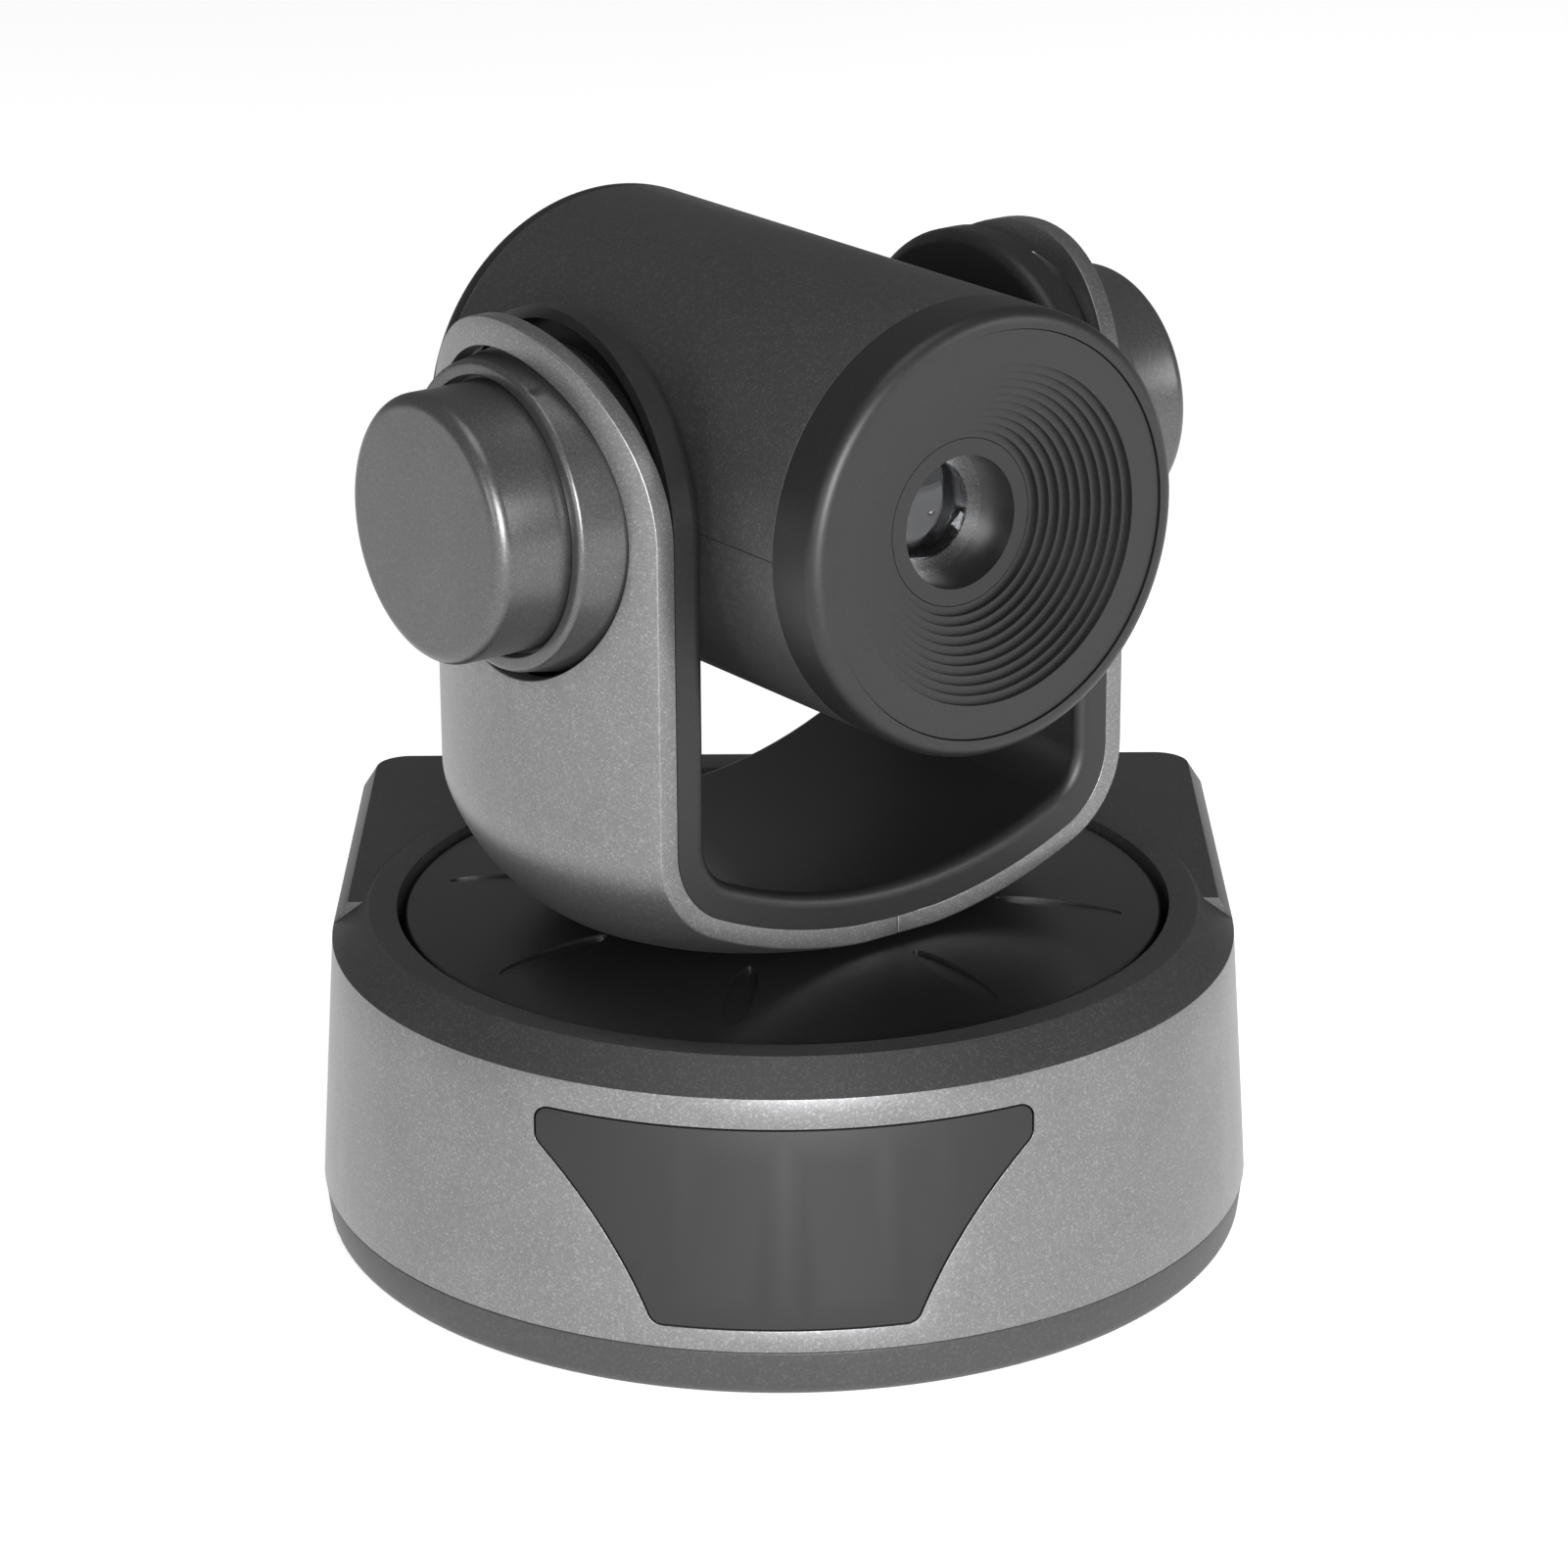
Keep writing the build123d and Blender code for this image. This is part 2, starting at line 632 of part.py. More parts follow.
# turntable: low dome with a rolled rim and eight leaf-shaped dents
GEAR_TOP = GEAR_BASE_Z + GEAR_WIDTH
DISC = 2.2
RIM_LOW = 38.5
DENTS = 8
DENT_R = 37.9
DENT_LENGTH = 17.4
DENT_WIDTH = 3.8
DENT_DEPTH = 0.5
DOME_MID = (30.0, 47.1)
dent_slope = degrees(atan2(DISC_TOP_Z - DISC_RIM_Z, DISC_R - 8))
with BuildPart() as pan_disc:
    with BuildSketch(Plane.XZ):
        with BuildLine():
            Polyline(
                (14, DISC_TOP_Z),
                (SHAFT_R, DISC_TOP_Z),
                (SHAFT_R, GEAR_TOP),
                (14, GEAR_TOP),
                (14, DISC_TOP_Z - DISC - 0.4),
            )
            ThreePointArc(
                (14, DISC_TOP_Z - DISC - 0.4),
                (DOME_MID[0], DOME_MID[1] - DISC),
                (DISC_R - DISC, DISC_RIM_Z - DISC),
            )
            Polyline(
                (DISC_R - DISC, DISC_RIM_Z - DISC),
                (DISC_R - DISC, RIM_LOW),
                (DISC_R, RIM_LOW),
                (DISC_R, DISC_RIM_Z - 0.7),
            )
            RadiusArc((DISC_R, DISC_RIM_Z - 0.7), (DISC_R - 0.7, DISC_RIM_Z), -0.7)
            ThreePointArc((DISC_R - 0.7, DISC_RIM_Z), DOME_MID, (14, DISC_TOP_Z))
        make_face()
    revolve(axis=Axis.Z)
    for count in range(DENTS):
        angle = radians(PAN_REST - 90 + 360 / DENTS * count)
        out = Vector(cos(angle), sin(angle), 0)
        tilted = out * sin(radians(dent_slope)) + Vector(0, 0, cos(radians(dent_slope)))
        dent_z = DOME_MID[1] - (DENT_R - DOME_MID[0]) * tan(radians(dent_slope)) - DENT_DEPTH
        with BuildSketch(Plane(origin=out * DENT_R + Vector(0, 0, dent_z), x_dir=out.cross(tilted), z_dir=tilted)):
            Ellipse(DENT_WIDTH / 2, DENT_LENGTH / 2)
        extrude(amount=3, mode=Mode.SUBTRACT)
save(pan_disc.part, "pan_disc")

# ------------------------------------------------------------------ yoke
LINER_ROUND = 1.8
SHAFT_HOLE_R = SHAFT_R + 0.3
BUSHING_R = 8.5
BOSS_FLOOR_HOLE_R = 9.0
LINER_HOLE_R = COLLAR_R + 0.5
outer_block = swollen_block(0, 1, YOKE_DEPTH_HALF)
shell_core = swollen_block(SHELL, 1.05, 2 * YOKE_DEPTH_HALF)
liner_outer = yoke_block(SHELL, YOKE_DEPTH_HALF, YOKE_DEPTH_HALF)
liner_pocket = yoke_block(SHELL, YOKE_DEPTH_HALF - 1.6, YOKE_DEPTH_HALF - 1.6)
liner_web = yoke_block(LINER_OUT, 2 * YOKE_DEPTH_HALF, 2 * YOKE_DEPTH_HALF)
liner_core = yoke_block(YOKE_WALL, 2 * YOKE_DEPTH_HALF, 2 * YOKE_DEPTH_HALF)
frame_outer = yoke_block(FRAME_IN, YOKE_DEPTH_HALF - 5, YOKE_DEPTH_HALF - 5)
frame_core = yoke_block(FRAME_OUT, 2 * YOKE_DEPTH_HALF, 2 * YOKE_DEPTH_HALF)


def rim_edges(solid):
    """The edges that run round the front, the back and the arm ends of a yoke piece."""
    edges = solid.edges()
    return edges - edges.filter_by(LENS_AXIS) - edges.filter_by(TILT_AXIS)


def half_shell(side):
    """The silver half of the yoke on one side of its middle seam."""
    with BuildPart() as shell:
        add(outer_block)
        add(shell_core, mode=Mode.SUBTRACT)
        with BuildSketch(YOKE_FACE):
            with Locations((side * (2 * YOKE_HALF + SEAM_GAP / 2), TILT_Z)):
                Rectangle(4 * YOKE_HALF, 4 * YOKE_HALF)
        extrude(amount=2 * YOKE_DEPTH_HALF, both=True, mode=Mode.INTERSECT)
        with BuildSketch(ARM_SIDE):
            Circle(BOSS_R + SEAM_GAP)
        extrude(amount=side * 2 * YOKE_HALF, mode=Mode.SUBTRACT)
        with BuildSketch():
            Circle(SHAFT_HOLE_R)
        extrude(amount=TILT_Z / 2, mode=Mode.SUBTRACT)
    return shell.part


save(half_shell(-1), "yoke_shell_left")
save(half_shell(1), "yoke_shell_right")

# the hollow between shells and liner, where the frame runs
with BuildPart() as arm_hollow:
    add(liner_pocket)
    add(liner_web, mode=Mode.SUBTRACT)

with BuildPart() as yoke_liner:
    add(liner_outer)
    add(liner_core, mode=Mode.SUBTRACT)
    fillet([edge for edge in rim_edges(yoke_liner) if edge.distance_to(liner_core) < 0.01], LINER_ROUND)
    add(arm_hollow.part, mode=Mode.SUBTRACT)
    with BuildSketch(ARM_SIDE):
        Circle(LINER_HOLE_R)
    extrude(amount=2 * YOKE_HALF, both=True, mode=Mode.SUBTRACT)
save(yoke_liner.part, "yoke_liner")

with BuildPart() as yoke_frame:
    add(frame_outer)
    add(frame_core, mode=Mode.SUBTRACT)
    with BuildSketch(ARM_SIDE):
        Circle(BUSHING_R)
        # windows that lighten the arms
        with Locations((0, -26)):
            SlotOverall(22, 12)
    extrude(amount=2 * YOKE_HALF, both=True, mode=Mode.SUBTRACT)
    with BuildSketch():
        Circle(SHAFT_BORE_R)
    extrude(amount=TILT_Z / 2, mode=Mode.SUBTRACT)
save(yoke_frame.part, "yoke_frame")

BUSHING_START = 33.2
BUSHING_END = 37.8
with BuildPart() as tilt_bushings:
    for side in (-1, 1):
        with BuildSketch(ARM_SIDE.offset(side * BUSHING_START)):
            Circle(BUSHING_R)
            Circle(JOURNAL_R + RUNNING, mode=Mode.SUBTRACT)
        extrude(amount=side * (BUSHING_END - BUSHING_START))
save(tilt_bushings.part, "tilt_bushings")


def boss(side):
    """The cup at the foot of a knob: a floor on the liner, a tapered wall and a lip that holds the cap."""
    floor_under = YOKE_HALF - SHELL + 0.02
    seat = BOSS_FACE - 1.8
    with BuildPart() as made:
        with BuildSketch(HEAD_FACE):
            with BuildLine():
                Polyline(
                    (side * YOKE_HALF, BOSS_FLOOR_HOLE_R),
                    (side * floor_under, BOSS_FLOOR_HOLE_R),
                    (side * floor_under, BOSS_R),
                    (side * YOKE_HALF, BOSS_R),
                    (side * (BOSS_FACE - 0.8), BOSS_TOP_R),
                )
                ThreePointArc(
                    (side * (BOSS_FACE - 0.8), BOSS_TOP_R),
                    (side * (BOSS_FACE - 0.2), BOSS_TOP_R - 0.3),
                    (side * BOSS_FACE, BOSS_TOP_R - 0.8),
                )
                Polyline(
                    (side * BOSS_FACE, BOSS_TOP_R - 0.8),
                    (side * BOSS_FACE, CAP_R + GROOVE),
                    (side * seat, CAP_R + GROOVE),
                    (side * seat, BOSS_BORE_R),
                    (side * YOKE_HALF, BOSS_BORE_R),
                    (side * YOKE_HALF, BOSS_FLOOR_HOLE_R),
                )
            make_face()
        revolve(axis=TILT_AXIS)
    return made.part


CAP_WALL = 1.8
CAP_ROUND = 2.0


def cap(side):
    """A knob's cap: a cup whose flange is held under the boss's lip."""
    seat = BOSS_FACE - 1.8
    with BuildPart() as made:
        with BuildSketch(HEAD_FACE):
            with BuildLine():
                Polyline(
                    (side * CAP_FACE, 0),
                    (side * CAP_FACE, CAP_R - CAP_ROUND),
                )
                ThreePointArc(
                    (side * CAP_FACE, CAP_R - CAP_ROUND),
                    (side * (CAP_FACE - 0.293 * CAP_ROUND), CAP_R - 0.293 * CAP_ROUND),
                    (side * (CAP_FACE - CAP_ROUND), CAP_R),
                )
                Polyline(
                    (side * (CAP_FACE - CAP_ROUND), CAP_R),
                    (side * seat, CAP_R),
                    (side * seat, BOSS_BORE_R - 0.2),
                    (side * (seat - 1.6), BOSS_BORE_R - 0.2),
                    (side * (seat - 1.6), CAP_R - CAP_WALL),
                    (side * (CAP_FACE - CAP_WALL), CAP_R - CAP_WALL),
                    (side * (CAP_FACE - CAP_WALL), 0),
                    (side * CAP_FACE, 0),
                )
            make_face()
        revolve(axis=TILT_AXIS)
    return made.part


for side, side_name in ((-1, "left"), (1, "right")):
    save(boss(side), f"boss_{side_name}")
    save(cap(side), f"cap_{side_name}")

# geared tilt motor inside the right knob, its flange on the arm
TILT_MOTOR_R = 14.0
TILT_SHAFT_R = 2.5
TILT_SHAFT_END = 52.0
with BuildPart() as tilt_motor:
    with BuildSketch(ARM_SIDE.offset(YOKE_HALF + 0.02)):
        Circle(BOSS_BORE_R - 0.6)
    extrude(amount=1.2)
    with BuildSketch(ARM_SIDE.offset(YOKE_HALF + 0.02)):
        Circle(TILT_MOTOR_R)
    extrude(amount=CAP_FACE - CAP_WALL - 1 - YOKE_HALF)
    fillet(tilt_motor.edges().sort_by(TILT_AXIS)[-1], 0.8)
    with BuildSketch(ARM_SIDE.offset(YOKE_HALF)):
        Circle(JOURNAL_R + 0.5)
    extrude(amount=1.5, mode=Mode.SUBTRACT)
    with BuildSketch(ARM_SIDE.offset(YOKE_HALF)):
        Circle(TILT_SHAFT_R + RUNNING)
    extrude(amount=TILT_SHAFT_END + 0.5 - YOKE_HALF, mode=Mode.SUBTRACT)
save(tilt_motor.part, "tilt_motor")

# board in the left knob that finds the head's level position
home_board = ring(JOURNAL_R + 1.5, BOSS_BORE_R - 0.6, -YOKE_HALF - 0.02 - BOARD, -YOKE_HALF - 0.02, ARM_SIDE)
save(home_board, "home_sensor_board")

# ------------------------------------------------------------------ head: casing
HOLE_R = COLLAR_R + 0.4
REAR_SCREW_R = 23.4
REAR_BOSS_R = 4.3
REAR_SCREWS = [(REAR_SCREW_R * cos(radians(a)), REAR_SCREW_R * sin(radians(a))) for a in (45, 135, 225, 315)]


def barrel_half(side):
    """The barrel's upper or lower half, which meet on the lens's level plane."""
    with BuildPart() as half:
        with BuildSketch(HEAD_FACE.offset(REAR_SEAM)):
            Circle(BARREL_R)
            Circle(BARREL_R - BARREL_WALL, mode=Mode.SUBTRACT)
        extrude(amount=BEZEL_SEAM - REAR_SEAM)
        with BuildSketch(HEAD_FACE.offset(REAR_SEAM)):
            with Locations(*REAR_SCREWS):
                Circle(REAR_BOSS_R)
            Circle(BARREL_R - 0.5, mode=Mode.INTERSECT)
        extrude(amount=6)
        with BuildSketch(HEAD_FACE.offset(REAR_SEAM)):
            with Locations(*REAR_SCREWS):
                Circle(1.1)
        extrude(amount=6, mode=Mode.SUBTRACT)
        with BuildSketch(ARM_SIDE):
            Circle(HOLE_R)
        extrude(amount=2 * BARREL_R, both=True, mode=Mode.SUBTRACT)
        with BuildSketch(HEAD_FACE):
            with Locations((0, side * (BARREL_R + SEAM_GAP / 2))):
                Rectangle(3 * BARREL_R, 2 * BARREL_R)
        extrude(amount=2 * BARREL_R, both=True, mode=Mode.INTERSECT)
    return half.part


save(barrel_half(1), "barrel_top")
save(barrel_half(-1), "barrel_bottom")

REAR_ROUND = 3.0
with BuildPart() as rear_cover:
    with BuildSketch(HEAD_FACE.offset(REAR_END)):
        Circle(BARREL_R)
    extrude(amount=REAR_SEAM - REAR_END - SEAM_GAP)
    fillet(rear_cover.edges().sort_by(LENS_AXIS)[0], REAR_ROUND)
    with BuildSketch(HEAD_FACE.offset(REAR_SEAM - SEAM_GAP)):
        Circle(BARREL_R - 5.5)
    extrude(amount=-1.8, mode=Mode.SUBTRACT)
    with BuildSketch(HEAD_FACE.offset(REAR_END)):
        with Locations(*REAR_SCREWS):
            Circle(2.3)
    extrude(amount=1.6, mode=Mode.SUBTRACT)
    with BuildSketch(HEAD_FACE.offset(REAR_END)):
        with Locations(*REAR_SCREWS):
            Circle(1.3)
    extrude(amount=REAR_SEAM - REAR_END, mode=Mode.SUBTRACT)
save(rear_cover.part, "rear_cover")

rear_seat = Plane(origin=TILT_POINT + AHEAD * (REAR_END + 1.6), x_dir=-ACROSS, z_dir=-AHEAD)
save(screws(rear_seat, REAR_SCREWS, 2.1, 1.3, 1.1, 8), "rear_screws")

with BuildPart() as bezel_ring:
    with BuildSketch(HEAD_PLAN):
        with BuildLine():
            Polyline(
                (BARREL_R - 4.9, BEZEL_SEAM - 3.7),
                (BARREL_R - BARREL_WALL - 0.05, BEZEL_SEAM - 3.7),
                (BARREL_R - BARREL_WALL - 0.05, BEZEL_SEAM + SEAM_GAP),
                (BARREL_R, BEZEL_SEAM + SEAM_GAP),
                (BARREL_R, FRONT_END - 2),
            )
            RadiusArc((BARREL_R, FRONT_END - 2), (BARREL_R - 2, FRONT_END), -2)
            Polyline(
                (BARREL_R - 2, FRONT_END),
                (BARREL_R - 2.55, FRONT_END),
                (BARREL_R - 2.55, FRONT_END - 2.9),
                (BARREL_R - 4.9, FRONT_END - 2.9),
                (BARREL_R - 4.9, BEZEL_SEAM - 3.7),
            )
        make_face()
    revolve(axis=LENS_AXIS)
save(bezel_ring.part, "bezel_ring")

# ribbed cone that narrows in even steps from the mouth to the throat
hood_steps = []
for count in range(HOOD_STEPS + 1):
    radius = HOOD_MOUTH_R - (HOOD_MOUTH_R - HOOD_THROAT_R) * count / HOOD_STEPS
    depth = HOOD_FACE - HOOD_DEPTH * count / HOOD_STEPS
    next_depth = HOOD_FACE - HOOD_DEPTH * (count + 1) / HOOD_STEPS
    hood_steps.append((radius, depth))
    if count < HOOD_STEPS:
        hood_steps.append((radius, next_depth))
HOOD_OUT_R = BARREL_R - 2.7
THROAT_DEPTH = HOOD_FACE - HOOD_DEPTH
with BuildPart() as lens_hood:
    with BuildSketch(HEAD_PLAN):
        with BuildLine():
            Polyline(
                *hood_steps,
                (HOOD_THROAT_R, THROAT_DEPTH - 1.6),
                (HOOD_THROAT_R + 1.4, THROAT_DEPTH - 1.6),
                (HOOD_OUT_R - 3.2, HOOD_FACE - 2.6),
                (HOOD_OUT_R, HOOD_FACE - 2.6),
                (HOOD_OUT_R, HOOD_FACE),
                close=True,
            )
        make_face()
    revolve(axis=LENS_AXIS)
save(lens_hood.part, "lens_hood")

# ------------------------------------------------------------------ head: lens block
TUBE_R = HOOD_THROAT_R - 0.1
TUBE_BORE_R = 8.8
ROD_PLACES = [(ROD_CIRCLE_R * cos(radians(a)), ROD_CIRCLE_R * sin(radians(a))) for a in (45, 225)]
ZOOM_SCREW_PLACE = (ROD_CIRCLE_R * cos(radians(135)), ROD_CIRCLE_R * sin(radians(135)))
FOCUS_SCREW_PLACE = (ROD_CIRCLE_R * cos(radians(315)), ROD_CIRCLE_R * sin(radians(315)))
BLOCK_END_WALL = 2.0
FRONT_LENS_R = 6.6

with BuildPart() as lens_housing:
    with BuildSketch(HEAD_FACE.offset(BLOCK_BACK)):
        RectangleRounded(2 * BLOCK_HALF, 2 * BLOCK_HALF, 2)
    extrude(amount=BLOCK_FRONT - BLOCK_BACK)
    with BuildSketch(HEAD_FACE.offset(BLOCK_BACK + BLOCK_END_WALL)):
        Circle(BLOCK_BORE_R)
    extrude(amount=BLOCK_FRONT - BLOCK_BACK - 2 * BLOCK_END_WALL, mode=Mode.SUBTRACT)
    with BuildSketch(HEAD_FACE.offset(BLOCK_BACK)):
        Circle(7)
        with Locations(*ROD_PLACES):
            Circle(ROD_R)
        with Locations(ZOOM_SCREW_PLACE, FOCUS_SCREW_PLACE):
            Circle(ROD_R + RUNNING)
    extrude(amount=BLOCK_FRONT - BLOCK_BACK - 0.6, mode=Mode.SUBTRACT)
    with BuildSketch(HEAD_FACE.offset(BLOCK_FRONT)):
        Circle(8.2)
    extrude(amount=-BLOCK_END_WALL, mode=Mode.SUBTRACT)
save(lens_housing.part, "lens_housing")

save(ring(TUBE_BORE_R, TUBE_R, BLOCK_FRONT, THROAT_DEPTH, HEAD_FACE), "lens_tube")
RETAINER_START = 30.2
RETAINER_END = 31.6
save(ring(FRONT_LENS_R, TUBE_BORE_R, RETAINER_START, RETAINER_END, HEAD_FACE), "retaining_ring")


def lens(radius, back, edge, bulge, ahead=1):
    """A lens about the lens axis: flat on one side, and a part of a sphere on the other."""
    sphere_r = (radius**2 + bulge**2) / (2 * bulge)
    half_way = edge + bulge - sphere_r + sqrt(sphere_r**2 - radius**2 / 4)
    with BuildPart() as made:
        with BuildSketch(HEAD_PLAN):
            with BuildLine():
                Polyline((0, back), (radius, back), (radius, back + ahead * edge))
                ThreePointArc(
                    (radius, back + ahead * edge),
                    (radius / 2, back + ahead * half_way),
                    (0, back + ahead * (edge + bulge)),
                )
                Line((0, back + ahead * (edge + bulge)), (0, back))
            make_face()
        revolve(axis=LENS_AXIS)
    return made.part


save(lens(FRONT_LENS_R, BLOCK_FRONT, 3.4, 1.0), "front_lens")

with BuildPart() as guide_rods:
    with BuildSketch(HEAD_FACE.offset(BLOCK_BACK)):
        with Locations(*ROD_PLACES):
            Circle(ROD_R)
    extrude(amount=BLOCK_FRONT - BLOCK_BACK - 0.8)
save(guide_rods.part, "guide_rods")

CARRIAGE_R = 12.2
CARRIAGE = 5.0
CARRIAGE_LENS_R = 7.4
ZOOM_BACK = 2.0
FOCUS_BACK = -12.0


def carriage(back):
    """A ring that runs on the guide rods and holds a lens."""
    with BuildPart() as made:
        with BuildSketch(HEAD_FACE.offset(back)):
            Circle(CARRIAGE_R)
            Circle(CARRIAGE_LENS_R, mode=Mode.SUBTRACT)
            with Locations(*ROD_PLACES, ZOOM_SCREW_PLACE, FOCUS_SCREW_PLACE):
                Circle(ROD_R + RUNNING, mode=Mode.SUBTRACT)
        extrude(amount=CARRIAGE)
    return made.part


save(carriage(ZOOM_BACK), "zoom_carriage")
save(lens(CARRIAGE_LENS_R, ZOOM_BACK + 0.4, 2.2, 1.6), "zoom_lens")
save(carriage(FOCUS_BACK), "focus_carriage")
save(lens(CARRIAGE_LENS_R, FOCUS_BACK + 4.6, 2.2, 1.6, -1), "focus_lens")


def lead_screw(place):
    """The plain core of a lead screw along the lens block."""
    with BuildPart() as made:
        with BuildSketch(HEAD_FACE.offset(BLOCK_BACK + 0.3)):
            with Locations(place):
                Circle(ROD_R)
        extrude(amount=BLOCK_FRONT - BLOCK_BACK - 1.2)
    return made.part


save(lead_screw(ZOOM_SCREW_PLACE), "zoom_screw")
save(lead_screw(FOCUS_SCREW_PLACE), "focus_screw")

SENSOR_BOARD_FRONT = BLOCK_BACK
with BuildPart() as sensor_board:
    with BuildSketch(HEAD_FACE.offset(SENSOR_BOARD_FRONT - BOARD)):
        RectangleRounded(28, 28, 1)
    extrude(amount=BOARD)
save(sensor_board.part, "sensor_board")

with BuildPart() as image_sensor:
    with BuildSketch(HEAD_FACE.offset(SENSOR_BOARD_FRONT)):
        Rectangle(8, 6.4)
    extrude(amount=1.2)
save(image_sensor.part, "image_sensor")

# video board behind it, on a board-to-board connector
VIDEO_BOARD_FRONT = -30.0
with BuildPart() as video_board:
    with BuildSketch(HEAD_FACE.offset(VIDEO_BOARD_FRONT - BOARD)):
        RectangleRounded(28, 28, 1)
    extrude(amount=BOARD)
    with BuildSketch(HEAD_FACE.offset(VIDEO_BOARD_FRONT - BOARD)):
        with Locations((0, 2)):
            RectangleRounded(12, 12, 0.5)
    extrude(amount=-1.4)
    with BuildSketch(HEAD_FACE.offset(VIDEO_BOARD_FRONT)):
        Rectangle(16, 5)
    extrude(amount=SENSOR_BOARD_FRONT - BOARD - VIDEO_BOARD_FRONT)
save(video_board.part, "video_board")

# bracket that hangs the lens block between the axles
BRACKET_IN = 19.5
BRACKET = 1.5
with BuildPart() as head_bracket:
    for side in (-1, 1):
        with BuildSketch(ARM_SIDE.offset(side * BRACKET_IN)):
            with Locations((0, -1.3)):
                RectangleRounded(34, 30.6, 3)
            Circle(3, mode=Mode.SUBTRACT)
        extrude(amount=side * BRACKET)
    with BuildSketch(Plane(origin=TILT_POINT - Vector(0, 0, BLOCK_HALF), x_dir=ACROSS, z_dir=(0, 0, -1))):
        Rectangle(2 * BRACKET_IN, 34 - 6)
    extrude(amount=BRACKET)
save(head_bracket.part, "head_bracket")

AXLE_FLANGE_R = 11.8
AXLE_START = BRACKET_IN + BRACKET
COLLAR_END = 32.6
AXLE_END = 38.6


def axle(side, bore_r):
    """Flanged axle: a flange on the bracket, a collar through the casing, a journal in the arm."""
    with BuildPart() as made:
        with BuildSketch(HEAD_FACE):
            with BuildLine():
                Polyline(
                    (side * AXLE_START, bore_r),
                    (side * AXLE_START, AXLE_FLANGE_R),
                    (side * (AXLE_START + 1.8), AXLE_FLANGE_R),
                    (side * (AXLE_START + 1.8), COLLAR_R),
                    (side * COLLAR_END, COLLAR_R),
                    (side * COLLAR_END, JOURNAL_R),
                    (side * AXLE_END, JOURNAL_R),
                    (side * AXLE_END, bore_r),
                    close=True,
                )
            make_face()
        revolve(axis=TILT_AXIS)
    return made.part


save(axle(-1, 3.0), "axle_left")
save(axle(1, TILT_SHAFT_R), "axle_right")

with BuildPart() as tilt_shaft:
    with BuildSketch(ARM_SIDE.offset(AXLE_START)):
        Circle(TILT_SHAFT_R)
    extrude(amount=TILT_SHAFT_END - AXLE_START)
save(tilt_shaft.part, "tilt_shaft")
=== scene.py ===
import json
import math

import bmesh
import bpy
from mathutils import Matrix, Vector

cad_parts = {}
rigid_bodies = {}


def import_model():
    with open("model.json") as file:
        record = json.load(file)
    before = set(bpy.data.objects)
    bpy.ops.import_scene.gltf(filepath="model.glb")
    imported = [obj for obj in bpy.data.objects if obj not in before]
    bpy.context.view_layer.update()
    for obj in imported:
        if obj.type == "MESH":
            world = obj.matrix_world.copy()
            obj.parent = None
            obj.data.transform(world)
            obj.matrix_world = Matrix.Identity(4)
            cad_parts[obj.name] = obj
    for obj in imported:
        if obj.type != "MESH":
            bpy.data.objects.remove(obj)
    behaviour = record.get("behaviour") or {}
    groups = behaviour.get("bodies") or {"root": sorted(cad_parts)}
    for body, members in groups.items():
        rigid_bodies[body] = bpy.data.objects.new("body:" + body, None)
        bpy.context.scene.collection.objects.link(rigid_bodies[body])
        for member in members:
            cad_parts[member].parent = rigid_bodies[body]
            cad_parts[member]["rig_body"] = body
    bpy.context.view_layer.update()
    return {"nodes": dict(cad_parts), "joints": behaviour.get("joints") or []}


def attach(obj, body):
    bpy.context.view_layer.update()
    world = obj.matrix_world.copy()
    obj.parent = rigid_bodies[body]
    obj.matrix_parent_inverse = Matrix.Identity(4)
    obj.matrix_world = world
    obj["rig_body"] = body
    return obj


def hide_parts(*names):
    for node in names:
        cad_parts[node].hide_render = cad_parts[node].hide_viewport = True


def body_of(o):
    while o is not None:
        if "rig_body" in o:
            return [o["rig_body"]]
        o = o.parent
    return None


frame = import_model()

# ---------------------------------------------------------------- places, from the frame
MM = 0.001
tilt = next(joint for joint in frame["joints"] if joint["name"] == "tilt")
ACROSS = -Vector(tilt["axis"])              # along the tilt axis
UP = Vector((0, 0, 1))
AHEAD = ACROSS.cross(UP)                    # the way the lens looks


# ---------------------------------------------------------------- camera
VIEW_ELEVATION = math.radians(19.91)
VIEW_ROLL = math.radians(-0.3)
VIEW_AIM = Vector((0.00023, 0, 0.0622))
VIEW_DISTANCE = 0.6944
VIEW_LENS = 117.1
VIEW_SENSOR = 36


def make_camera():
    """A long lens, a little above the object, looking straight at the base's front."""
    back = Vector((0, -math.cos(VIEW_ELEVATION), math.sin(VIEW_ELEVATION)))
    right = Vector((1, 0, 0))
    up = back.cross(right)
    side = right * math.cos(VIEW_ROLL) + up * math.sin(VIEW_ROLL)
    top = up * math.cos(VIEW_ROLL) - right * math.sin(VIEW_ROLL)
    data = bpy.data.cameras.new("view")
    data.sensor_width = VIEW_SENSOR
    data.lens = VIEW_LENS
    camera = bpy.data.objects.new("view", data)
    bpy.context.scene.collection.objects.link(camera)
    turn = Matrix((side, top, back)).transposed().to_4x4()
    camera.matrix_world = Matrix.Translation(VIEW_AIM + back * VIEW_DISTANCE) @ turn
    bpy.context.scene.camera = camera


make_camera()


# ---------------------------------------------------------------- material tools
COLOUR = "NodeSocketColor"
NUMBER = "NodeSocketFloat"
MIX_FIRST, MIX_SECOND, MIX_RESULT = 6, 7, 2     # the colour sockets of a mix node


